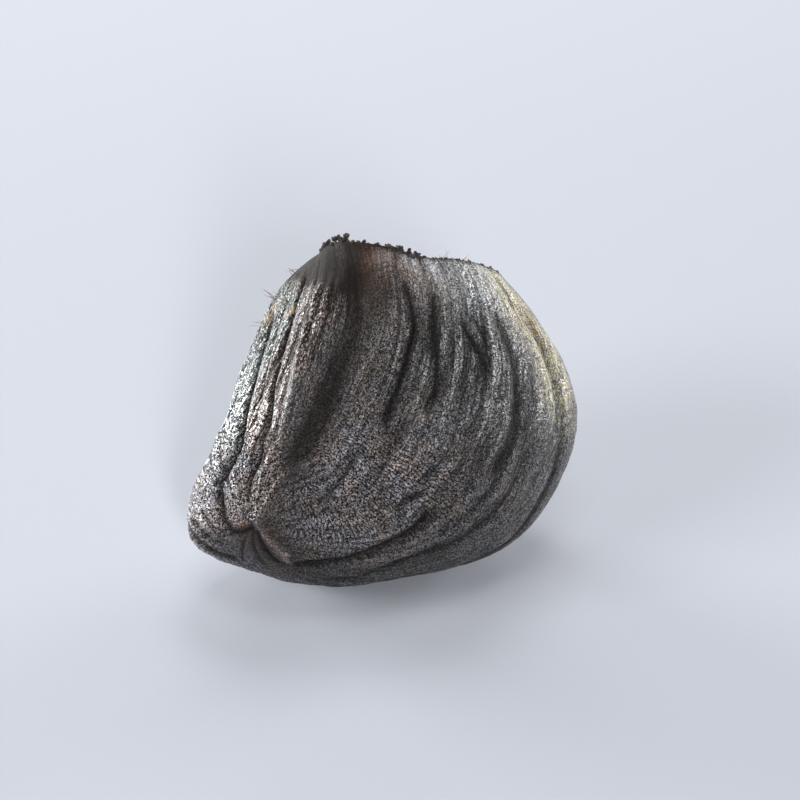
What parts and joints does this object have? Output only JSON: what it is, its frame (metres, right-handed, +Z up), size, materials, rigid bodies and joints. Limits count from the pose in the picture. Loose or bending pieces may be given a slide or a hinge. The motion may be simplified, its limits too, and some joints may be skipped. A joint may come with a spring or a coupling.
{
  "type": "black garlic clove",
  "caption": "Peeled aged clove, D-shaped with a broad flank, one pleated edge, a bent-over tip and a dished root plate.",
  "frame": {"origin": "middle of the bounding box's footprint, on the surface the clove rests on", "axes": "+Z up; +X towards the rounded back of the clove, with its tip at the -X end; -Y is the side of the broad flank, which leans back and faces up"},
  "size_m": [0.027, 0.02, 0.0237],
  "materials": {
    "aged_flesh": "leathery aged garlic flesh, satin, finely crazed, near black with a brown cast"
  },
  "bodies": {
    "root": {"clove": "aged_flesh"}
  },
  "joints": []
}
